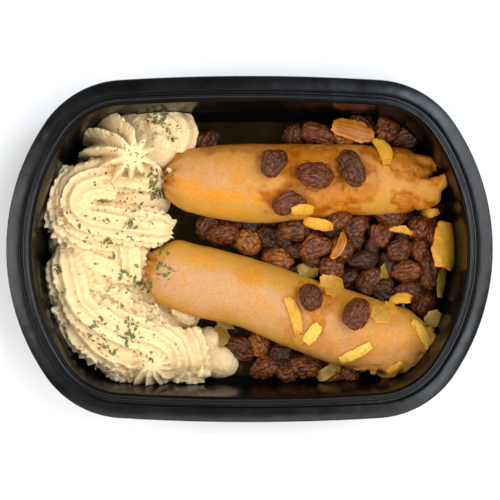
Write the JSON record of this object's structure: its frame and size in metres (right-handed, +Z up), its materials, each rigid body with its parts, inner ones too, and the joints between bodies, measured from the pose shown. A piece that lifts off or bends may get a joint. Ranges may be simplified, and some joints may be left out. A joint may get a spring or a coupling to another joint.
{
  "type": "tray meal of curried sausages with mashed potato",
  "caption": "Black plastic tray holding sausages in curry sauce with piped mashed potato, dried parsley, stewed raisins and onion slices.",
  "frame": {"origin": "centre of the tray's flat underside", "axes": "+X along the tray's long side towards the torn ends of the sausages, +Y towards the straighter sausage, +Z up out of the tray"},
  "size_m": [0.216, 0.1536, 0.044],
  "materials": {
    "tray": "glossy black moulded plastic, lightly rippled, with a satin flange",
    "sausage": "moist pinkish tan skin with an ochre bloom, orange specks and patches of curry sauce",
    "mash": "cream yellow, soft and finely torn along its ridges",
    "raisin": "wrinkled red-brown skin, wet with sauce",
    "onion": "translucent golden yellow, glossy",
    "parsley": "dry olive green flakes",
    "sauce": "thin glossy orange-brown curry sauce"
  },
  "bodies": {
    "root": {"tray": "tray", "sausage_upper": "sausage", "sausage_lower": "sausage", "mash_rosette": "mash", "mash_loop": "mash", "mash_swirl": "mash", "raisins_middle": "raisin", "raisins_back": "raisin", "raisins_front": "raisin", "raisin_single": "raisin", "raisin_loose_1": "raisin", "raisin_loose_2": "raisin", "raisin_loose_3": "raisin", "raisin_loose_4": "raisin", "raisin_loose_5": "raisin", "raisin_loose_6": "raisin", "onion_1": "onion", "onion_2": "onion", "onion_3": "onion", "onion_4": "onion", "onion_5": "onion", "onion_6": "onion", "onion_7": "onion", "onion_8": "onion", "onion_9": "onion", "onion_10": "onion", "onion_11": "onion", "onion_12": "onion", "onion_13": "onion", "onion_14": "onion", "onion_15": "onion", "onion_16": "onion", "onion_17": "onion", "onion_18": "onion", "onion_19": "onion", "onion_20": "onion", "onion_21": "onion", "onion_22": "onion", "onion_23": "onion"}
  },
  "joints": []
}
